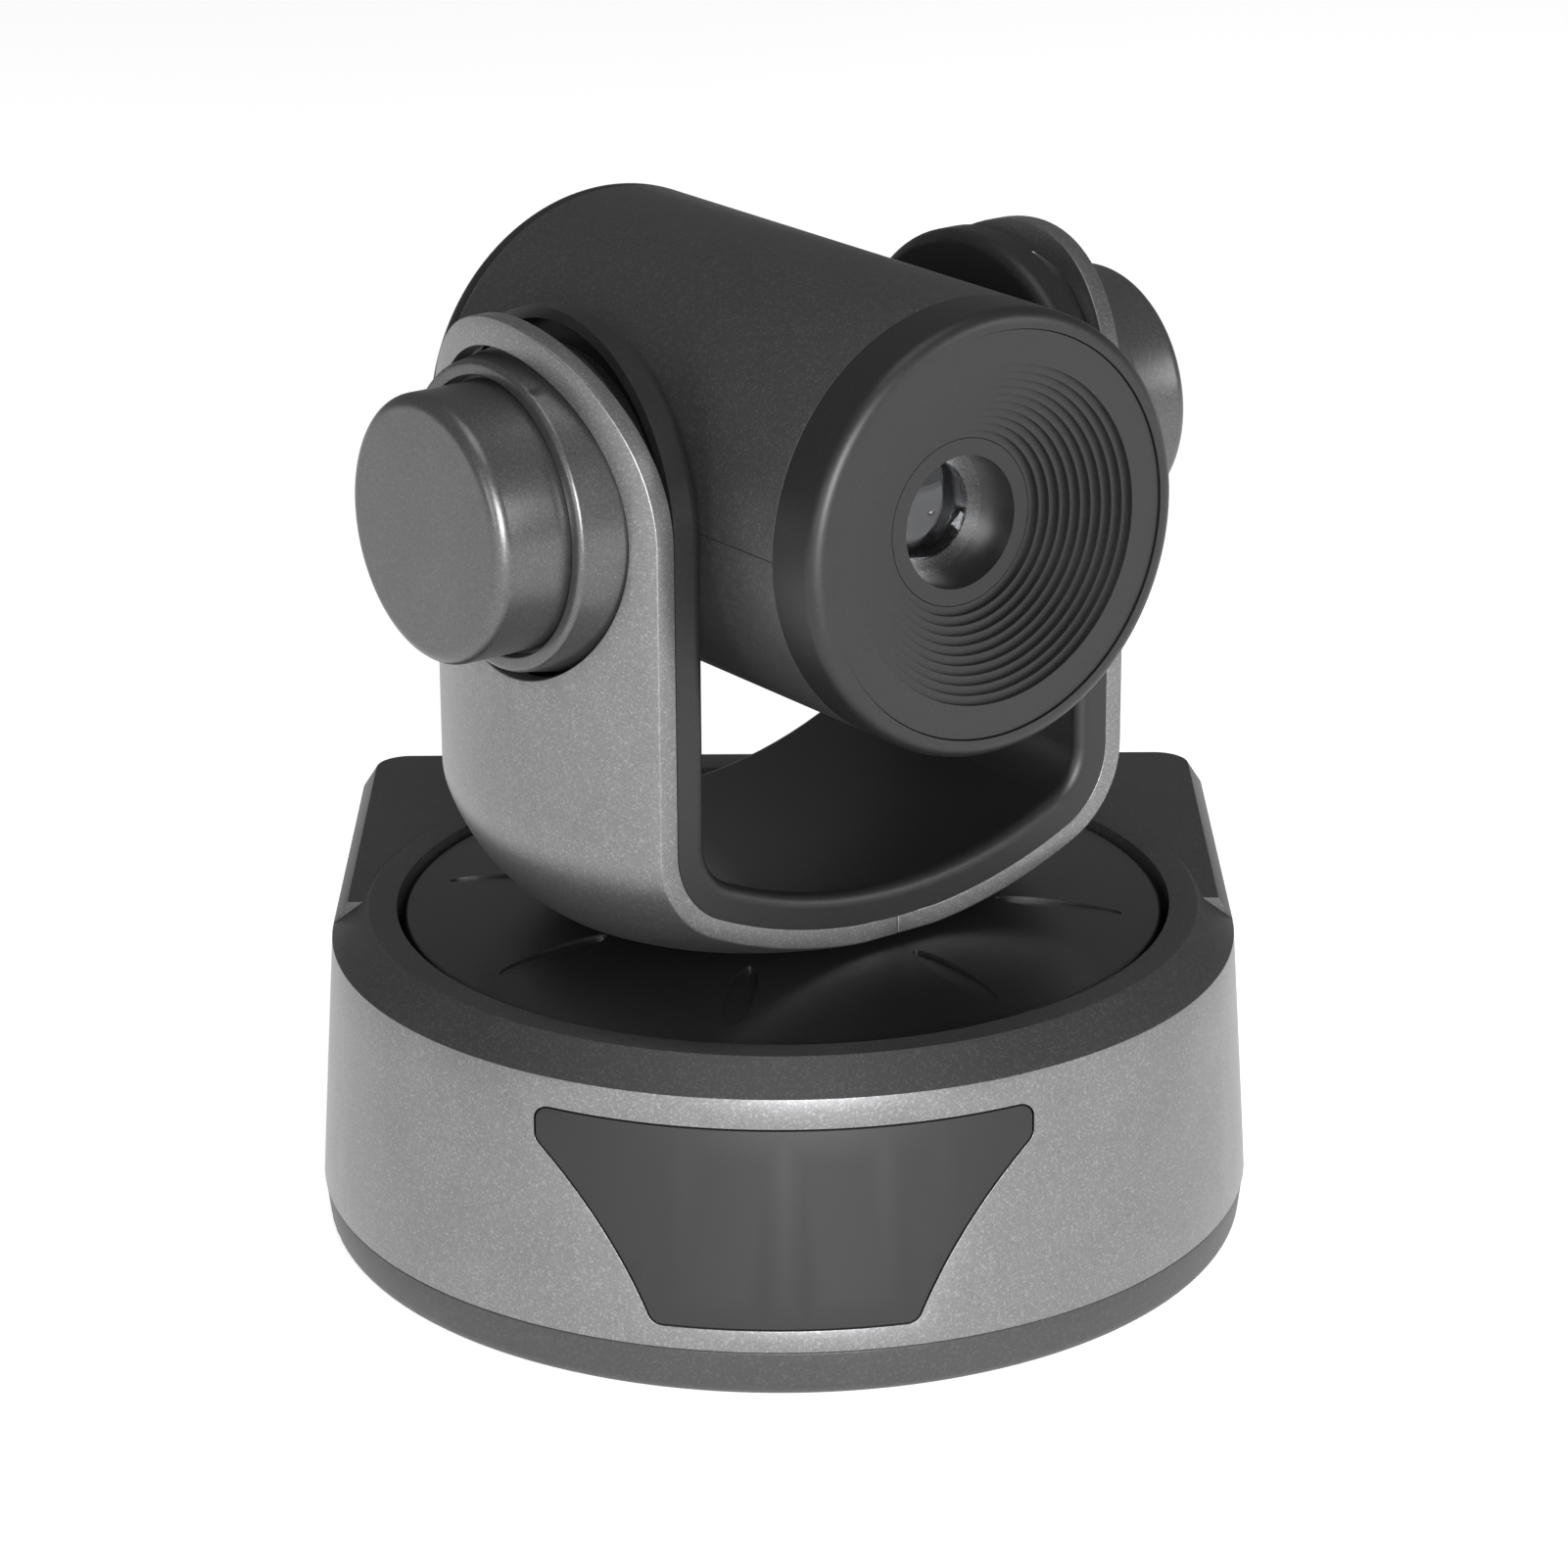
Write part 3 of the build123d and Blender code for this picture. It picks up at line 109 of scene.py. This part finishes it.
def new_group(name, inputs, outputs):
    """A shader node group with named sockets; returns it with its input and output nodes."""
    group = bpy.data.node_groups.new(name, "ShaderNodeTree")
    for label, kind, value in inputs:
        socket = group.interface.new_socket(label, in_out="INPUT", socket_type=kind)
        socket.default_value = value
    for label, kind in outputs:
        group.interface.new_socket(label, in_out="OUTPUT", socket_type=kind)
    return group, group.nodes.new("NodeGroupInput"), group.nodes.new("NodeGroupOutput")


def add_node(tree, kind, **settings):
    """A node with its own settings, and socket values given by socket name or number."""
    node = tree.nodes.new(kind)
    values = settings.pop("values", {})
    for key, value in settings.items():
        setattr(node, key, value)
    for key, value in values.items():
        node.inputs[key].default_value = value
    return node


def new_material(name):
    """An empty material; returns it with its node tree and its shader."""
    material = bpy.data.materials.new(name)
    material.use_nodes = True
    tree = material.node_tree
    return material, tree, tree.nodes["Principled BSDF"]


def speckle_group():
    """Fine bright and dark grains in a sprayed coat, over a slow mottle."""
    group, given, out = new_group(
        "sprayed_speckle",
        [("Colour", COLOUR, (0.3, 0.3, 0.3, 1)), ("Flake", COLOUR, (0.6, 0.6, 0.6, 1)),
         ("Grain Size mm", NUMBER, 0.3), ("Strength", NUMBER, 0.5), ("Roughness", NUMBER, 0.4),
         ("Roughness Spread", NUMBER, 0.1)],
        [("Colour", COLOUR), ("Roughness", NUMBER), ("Height", NUMBER)],
    )
    link = group.links.new
    place = add_node(group, "ShaderNodeTexCoord")
    grain_scale = add_node(group, "ShaderNodeMath", operation="DIVIDE", values={0: 1000.0})
    link(given.outputs["Grain Size mm"], grain_scale.inputs[1])
    grain = add_node(group, "ShaderNodeTexNoise", values={"Detail": 2.0, "Roughness": 0.6})
    link(place.outputs["Object"], grain.inputs["Vector"])
    link(grain_scale.outputs[0], grain.inputs["Scale"])

    # bright flakes, one here and there
    flakes = add_node(group, "ShaderNodeTexVoronoi", feature="F1")
    link(place.outputs["Object"], flakes.inputs["Vector"])
    link(grain_scale.outputs[0], flakes.inputs["Scale"])
    cell = add_node(group, "ShaderNodeSeparateColor")
    link(flakes.outputs["Color"], cell.inputs[0])
    bright = add_node(group, "ShaderNodeMapRange", values={"From Min": 0.72, "From Max": 1.0})
    link(cell.outputs[0], bright.inputs["Value"])
    strength = add_node(group, "ShaderNodeMath", operation="MULTIPLY")
    link(bright.outputs[0], strength.inputs[0])
    link(given.outputs["Strength"], strength.inputs[1])
    lit = add_node(group, "ShaderNodeMix", data_type="RGBA")
    link(strength.outputs[0], lit.inputs["Factor"])
    link(given.outputs["Colour"], lit.inputs[MIX_FIRST])
    link(given.outputs["Flake"], lit.inputs[MIX_SECOND])

    # darker grains, and a slow mottle over them
    dark = add_node(group, "ShaderNodeMapRange", values={"From Min": 0.35, "From Max": 0.7})
    link(grain.outputs["Fac"], dark.inputs["Value"])
    shade = add_node(group, "ShaderNodeMapRange", values={"To Min": 0.84, "To Max": 1.14})
    link(dark.outputs[0], shade.inputs["Value"])
    mottle = add_node(group, "ShaderNodeTexNoise", values={"Scale": 90.0, "Detail": 3.0})
    link(place.outputs["Object"], mottle.inputs["Vector"])
    slow = add_node(group, "ShaderNodeMapRange", values={
        "From Min": 0.3, "From Max": 0.7, "To Min": 0.96, "To Max": 1.04})
    link(mottle.outputs["Fac"], slow.inputs["Value"])
    both = add_node(group, "ShaderNodeMath", operation="MULTIPLY")
    link(shade.outputs[0], both.inputs[0])
    link(slow.outputs[0], both.inputs[1])
    tone = add_node(group, "ShaderNodeVectorMath", operation="SCALE")
    link(lit.outputs[MIX_RESULT], tone.inputs[0])
    link(both.outputs[0], tone.inputs["Scale"])
    link(tone.outputs[0], out.inputs["Colour"])

    # the grain also varies the roughness and gives the relief
    half = add_node(group, "ShaderNodeMath", operation="SUBTRACT", values={1: 0.5})
    link(grain.outputs["Fac"], half.inputs[0])
    spread = add_node(group, "ShaderNodeMath", operation="MULTIPLY_ADD")
    link(half.outputs[0], spread.inputs[0])
    link(given.outputs["Roughness Spread"], spread.inputs[1])
    link(given.outputs["Roughness"], spread.inputs[2])
    link(spread.outputs[0], out.inputs["Roughness"])
    link(grain.outputs["Fac"], out.inputs["Height"])
    return group


SPECKLE = speckle_group()
ROUGHNESS_SPREAD = 0.12
RELIEF_STRENGTH = 0.35


def sprayed(name, colour, flake, grain_mm, strength, roughness, metallic, relief=0.02):
    """A sprayed or moulded finish: speckle and a little relief, its height in mm."""
    material, tree, shader = new_material(name + "_finish")
    speckle = add_node(tree, "ShaderNodeGroup", node_tree=SPECKLE, values={
        "Colour": (*colour, 1), "Flake": (*flake, 1), "Grain Size mm": grain_mm, "Strength": strength,
        "Roughness": roughness, "Roughness Spread": ROUGHNESS_SPREAD})
    bump = add_node(tree, "ShaderNodeBump", values={"Strength": RELIEF_STRENGTH, "Distance": relief * MM})
    tree.links.new(speckle.outputs["Colour"], shader.inputs["Base Color"])
    tree.links.new(speckle.outputs["Roughness"], shader.inputs["Roughness"])
    tree.links.new(speckle.outputs["Height"], bump.inputs["Height"])
    tree.links.new(bump.outputs["Normal"], shader.inputs["Normal"])
    shader.inputs["Metallic"].default_value = metallic
    return material


def grey(value):
    """An almost neutral colour."""
    return (value, value, value * 1.015)


GLASS_ROUGHNESS = 0.01
DUST_ROUGHNESS = 0.12
DUST_COLOUR = (0.9, 0.9, 0.9, 1)
GLASS_IOR = 1.52


def glass(name, tint):
    """Tinted lens glass with faint dust."""
    material, tree, shader = new_material(name + "_finish")
    place = add_node(tree, "ShaderNodeTexCoord")
    dust = add_node(tree, "ShaderNodeTexNoise", values={"Scale": 900.0, "Detail": 3.0})
    rough = add_node(tree, "ShaderNodeMapRange", values={
        "From Min": 0.5, "From Max": 0.9, "To Min": GLASS_ROUGHNESS, "To Max": DUST_ROUGHNESS})
    hue = add_node(tree, "ShaderNodeMix", data_type="RGBA", values={
        MIX_FIRST: (*tint, 1), MIX_SECOND: DUST_COLOUR})
    tree.links.new(place.outputs["Object"], dust.inputs["Vector"])
    tree.links.new(dust.outputs["Fac"], rough.inputs["Value"])
    tree.links.new(dust.outputs["Fac"], hue.inputs["Factor"])
    tree.links.new(hue.outputs[MIX_RESULT], shader.inputs["Base Color"])
    tree.links.new(rough.outputs[0], shader.inputs["Roughness"])
    shader.inputs["Transmission Weight"].default_value = 1.0
    shader.inputs["IOR"].default_value = GLASS_IOR
    return material


# each row: colour, flake, grain in mm, strength, roughness, metallic, and relief in mm where it isn't 0.02
SPRAYED = {
    "silver_paint": (grey(0.20), grey(0.40), 0.26, 0.35, 0.38, 0.85),
    "dark_paint": (grey(0.030), grey(0.085), 0.26, 0.35, 0.45, 0.15),
    "knob_paint": (grey(0.11), grey(0.20), 0.26, 0.25, 0.34, 0.8),
    "black_plastic": (grey(0.007), grey(0.02), 0.25, 0.3, 0.44, 0.0, 0.012),
    "turntable_plastic": (grey(0.008), grey(0.02), 0.22, 0.25, 0.30, 0.0, 0.006),
    "tray_plastic": (grey(0.036), grey(0.085), 0.30, 0.35, 0.48, 0.1),
    "window_plastic": (grey(0.007), grey(0.012), 0.2, 0.2, 0.55, 0.0, 0.004),
    "white_plastic": ((0.72, 0.71, 0.68), (0.85, 0.85, 0.82), 0.4, 0.2, 0.4, 0.0),
    "steel": (grey(0.45), grey(0.65), 0.25, 0.4, 0.32, 1.0),
    "dark_steel": (grey(0.07), grey(0.22), 0.22, 0.4, 0.36, 0.9),
    "brass": ((0.60, 0.43, 0.17), (0.85, 0.70, 0.40), 0.25, 0.3, 0.3, 1.0),
    "aluminium": (grey(0.55), grey(0.8), 0.2, 0.4, 0.28, 1.0),
    "rubber": (grey(0.02), grey(0.04), 0.35, 0.3, 0.75, 0.0),
    "board": ((0.012, 0.09, 0.035), (0.03, 0.2, 0.08), 0.5, 0.3, 0.35, 0.0),
    "chip": (grey(0.018), grey(0.05), 0.2, 0.3, 0.5, 0.0),
    "led": ((0.6, 0.63, 0.68), (0.8, 0.8, 0.85), 0.3, 0.2, 0.15, 0.0),
}
LENS_TINT = (0.62, 0.66, 0.78)

FINISHES = {name: sprayed(name, *row) for name, row in SPRAYED.items()}
FINISHES["lens_glass"] = glass("lens_glass", LENS_TINT)
SLOT_OF = {name: node.material_slots[0].material.name for name, node in frame["nodes"].items()}


def dress_cad_nodes():
    """Every CAD node takes the finish of its own material slot."""
    for node in frame["nodes"].values():
        for slot in node.material_slots:
            slot.material = FINISHES[slot.material.name]


dress_cad_nodes()


# ---------------------------------------------------------------- rounded mouldings
MERGE = 2e-6                    # points closer than this are one point, in metres
DEGENERATE = 1e-6               # edges shorter than this go, in metres
FLAT = math.radians(0.6)        # faces closer in angle than this are one flat
SHARP = math.radians(32)        # edges over this are rounded
CREASE = math.radians(24)       # edges over this stay creased in the shading
ROUND_STEPS = 3
ROUND_PROFILE = 0.5


def flat_copy(name):
    """A CAD node's mesh as a bmesh with merged points and its flats made whole faces."""
    bm = bmesh.new()
    bm.from_mesh(frame["nodes"][name].data)
    bmesh.ops.remove_doubles(bm, verts=bm.verts, dist=MERGE)
    bmesh.ops.dissolve_degenerate(bm, edges=bm.edges, dist=DEGENERATE)
    bmesh.ops.dissolve_limit(bm, angle_limit=FLAT, verts=bm.verts, edges=bm.edges)
    return bm


def softened(name, width):
    """A moulding's visual piece: the CAD shape with its sharp edges rounded where the bevel can."""
    bm = flat_copy(name)
    sharp = [e for e in bm.edges if len(e.link_faces) == 2 and e.calc_face_angle() > SHARP]
    bmesh.ops.bevel(bm, geom=sharp, offset=width * MM, offset_type="OFFSET", segments=ROUND_STEPS,
                    profile=ROUND_PROFILE, affect="EDGES", clamp_overlap=True)
    bmesh.ops.triangulate(bm, faces=bm.faces)
    data = bpy.data.meshes.new(name + "_moulding")
    bm.to_mesh(data)
    bm.free()
    data.shade_smooth()
    data.set_sharp_from_angle(angle=CREASE)
    piece = bpy.data.objects.new(name + "_moulding", data)
    bpy.context.scene.collection.objects.link(piece)
    finish = SLOT_OF[name]
    data.materials.append(FINISHES[finish])
    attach(piece, body_of(frame["nodes"][name])[0])
    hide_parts(name)


# the width of each moulding's rounded edges, in mm
ROUNDED = {
    "base_wall": 0.45, "base_cover": 0.4, "base_pan": 0.5,
    "yoke_shell_left": 0.45, "yoke_shell_right": 0.45,
    "boss_left": 0.35, "boss_right": 0.35, "cap_left": 0.3, "cap_right": 0.3,
    "barrel_top": 0.12, "barrel_bottom": 0.12,
    "rear_cover": 0.4, "rear_panel": 0.25, "front_window": 0.2,
    "rubber_feet": 0.3,
}
for node_name, width in ROUNDED.items():
    softened(node_name, width)


# ---------------------------------------------------------------- screws, set out by geometry nodes
HEAD_HEIGHT = 1.2 * MM
HEAD_SIDES = 32
SLOT_PART = 0.32                # a slot's width over the head's radius
SLOT_LIFT = 0.4                 # how far the slots' bars are raised, over the head's height


def screw_group(name):
    """A flat round head with a cross recess at every point of the given mesh, turned to face outwards."""
    group = bpy.data.node_groups.new(name, "GeometryNodeTree")
    group.interface.new_socket("Geometry", in_out="INPUT", socket_type="NodeSocketGeometry")
    for label, value in (("Head Radius", 0.002), ("Head Height", 0.001), ("Slot Width", 0.0007)):
        socket = group.interface.new_socket(label, in_out="INPUT", socket_type=NUMBER)
        socket.default_value = value
    group.interface.new_socket("Turn", in_out="INPUT", socket_type="NodeSocketRotation")
    group.interface.new_socket("Finish", in_out="INPUT", socket_type="NodeSocketMaterial")
    group.interface.new_socket("Geometry", in_out="OUTPUT", socket_type="NodeSocketGeometry")
    given = group.nodes.new("NodeGroupInput")
    out = group.nodes.new("NodeGroupOutput")
    link = group.links.new
    head = add_node(group, "GeometryNodeMeshCylinder", values={"Vertices": HEAD_SIDES})
    link(given.outputs["Head Radius"], head.inputs["Radius"])
    link(given.outputs["Head Height"], head.inputs["Depth"])
    slots = group.nodes.new("GeometryNodeJoinGeometry")
    for along_x in (True, False):
        size = group.nodes.new("ShaderNodeCombineXYZ")
        link(given.outputs["Head Radius"], size.inputs["X" if along_x else "Y"])
        link(given.outputs["Slot Width"], size.inputs["Y" if along_x else "X"])
        link(given.outputs["Head Height"], size.inputs["Z"])
        bar = group.nodes.new("GeometryNodeMeshCube")
        link(size.outputs[0], bar.inputs["Size"])
        link(bar.outputs["Mesh"], slots.inputs[0])
    lift = group.nodes.new("ShaderNodeCombineXYZ")
    link(given.outputs["Head Height"], lift.inputs["Z"])
    part_lift = add_node(group, "ShaderNodeVectorMath", operation="SCALE", values={"Scale": SLOT_LIFT})
    link(lift.outputs[0], part_lift.inputs[0])
    raised = group.nodes.new("GeometryNodeTransform")
    link(slots.outputs[0], raised.inputs["Geometry"])
    link(part_lift.outputs[0], raised.inputs["Translation"])
    cut = add_node(group, "GeometryNodeMeshBoolean", operation="DIFFERENCE")
    link(head.outputs["Mesh"], cut.inputs[0])
    link(raised.outputs["Geometry"], cut.inputs[1])
    spread = group.nodes.new("GeometryNodeInstanceOnPoints")
    link(given.outputs["Geometry"], spread.inputs["Points"])
    link(cut.outputs[0], spread.inputs["Instance"])
    link(given.outputs["Turn"], spread.inputs["Rotation"])
    whole = group.nodes.new("GeometryNodeRealizeInstances")
    link(spread.outputs[0], whole.inputs[0])
    coat = group.nodes.new("GeometryNodeSetMaterial")
    link(whole.outputs[0], coat.inputs["Geometry"])
    link(given.outputs["Finish"], coat.inputs["Material"])
    link(coat.outputs[0], out.inputs[0])
    return group


def islands(name):
    """The loose solids of a CAD node, each as a list of its points."""
    bm = flat_copy(name)
    left, found = set(bm.verts), []
    while left:
        stack, part = [left.pop()], []
        while stack:
            vert = stack.pop()
            part.append(vert.co.copy())
            for edge in vert.link_edges:
                other = edge.other_vert(vert)
                if other in left:
                    left.remove(other)
                    stack.append(other)
        found.append(part)
    bm.free()
    return found


def head_over(part, outwards):
    """The middle of the head that stands on one screw's axis, and the screw's largest radius."""
    top = max(p.dot(outwards) for p in part)
    mid = sum((p - outwards * p.dot(outwards) for p in part), Vector()) / len(part)
    radius = max((p - outwards * p.dot(outwards) - mid).length for p in part)
    return mid + outwards * (top - HEAD_HEIGHT / 2), radius


def add_screws(name, outwards):
    """Cross-recessed heads, without shanks, in the places of a CAD node's screws."""
    heads = [head_over(part, outwards) for part in islands(name)]
    head_radius = heads[0][1]
    data = bpy.data.meshes.new(name + "_places")
    data.from_pydata([place for place, radius in heads], [], [])
    piece = bpy.data.objects.new(name + "_heads", data)
    bpy.context.scene.collection.objects.link(piece)
    group = screw_group(name + "_layout")
    modifier = piece.modifiers.new("layout", "NODES")
    modifier.node_group = group
    finish = SLOT_OF[name]
    given = {
        "Head Radius": head_radius, "Head Height": HEAD_HEIGHT, "Slot Width": head_radius * SLOT_PART,
        "Turn": UP.rotation_difference(outwards).to_euler(), "Finish": FINISHES[finish],
    }
    for item in group.interface.items_tree:
        if item.item_type == "SOCKET" and item.in_out == "INPUT" and item.name in given:
            modifier[item.identifier] = given[item.name]
    graph = bpy.context.evaluated_depsgraph_get()
    made = bpy.data.meshes.new_from_object(piece.evaluated_get(graph))
    piece.modifiers.clear()
    piece.data = made
    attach(piece, body_of(frame["nodes"][name])[0])
    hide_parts(name)


add_screws("rear_screws", -AHEAD)
add_screws("base_screws", -UP)


# ---------------------------------------------------------------- stage
FLOOR_HALF = 3.0
FLOOR_COLOUR = (0.9, 0.9, 0.9, 1)
FLOOR_ROUGHNESS = 0.9
FLOOR_GLOW = 0.6
WHITE = (1, 1, 1, 1)
BACKDROP_STRENGTH = 1.0         # what the view sees behind the object
ROOM_STRENGTH = 0.2             # what lights the object from all round
LIGHTS_AIM = Vector((0, 0, 0.07))
LIGHTS = (                      # name, place and size in metres, power in watts
    ("key", (0.15, -1.3, 0.42), 0.5, 24),
    ("fill", (-0.8, -1.0, 0.35), 0.35, 2.5),
    ("right_box", (1.2, -0.35, 0.45), 0.4, 4),
    ("top_box", (0.0, -0.2, 1.4), 0.8, 4),
)


def make_floor():
    """A pale floor that glows a little, so that it stays near white."""
    data = bpy.data.meshes.new("floor")
    corners = [(-FLOOR_HALF, -FLOOR_HALF, 0), (FLOOR_HALF, -FLOOR_HALF, 0),
               (FLOOR_HALF, FLOOR_HALF, 0), (-FLOOR_HALF, FLOOR_HALF, 0)]
    data.from_pydata(corners, [], [(0, 1, 2, 3)])
    floor = bpy.data.objects.new("floor", data)
    bpy.context.scene.collection.objects.link(floor)
    material, tree, shader = new_material("pale_floor")
    shader.inputs["Base Color"].default_value = FLOOR_COLOUR
    shader.inputs["Roughness"].default_value = FLOOR_ROUGHNESS
    shader.inputs["Emission Color"].default_value = WHITE
    shader.inputs["Emission Strength"].default_value = FLOOR_GLOW
    data.materials.append(material)


def make_world():
    """A white backdrop for the view, and a dimmer room for everything else."""
    world = bpy.data.worlds.new("studio")
    world.use_nodes = True
    tree = world.node_tree
    backdrop = tree.nodes["Background"]
    backdrop.inputs["Strength"].default_value = BACKDROP_STRENGTH
    backdrop.inputs["Color"].default_value = WHITE
    room = add_node(tree, "ShaderNodeBackground", values={"Color": WHITE, "Strength": ROOM_STRENGTH})
    seen = add_node(tree, "ShaderNodeLightPath")
    mix = add_node(tree, "ShaderNodeMixShader")
    tree.links.new(seen.outputs["Is Camera Ray"], mix.inputs["Fac"])
    tree.links.new(room.outputs[0], mix.inputs[1])
    tree.links.new(backdrop.outputs[0], mix.inputs[2])
    tree.links.new(mix.outputs[0], tree.nodes["World Output"].inputs["Surface"])
    bpy.context.scene.world = world


def make_lights():
    """Four soft boxes, all turned to the middle of the object."""
    for name, place, size, power in LIGHTS:
        data = bpy.data.lights.new(name, "AREA")
        data.energy = power
        data.size = size
        light = bpy.data.objects.new(name, data)
        bpy.context.scene.collection.objects.link(light)
        spot = Vector(place)
        turn = (spot - LIGHTS_AIM).to_track_quat("Z", "Y").to_matrix().to_4x4()
        light.matrix_world = Matrix.Translation(spot) @ turn


make_floor()
make_world()
make_lights()
bpy.context.scene.view_settings.view_transform = "Standard"
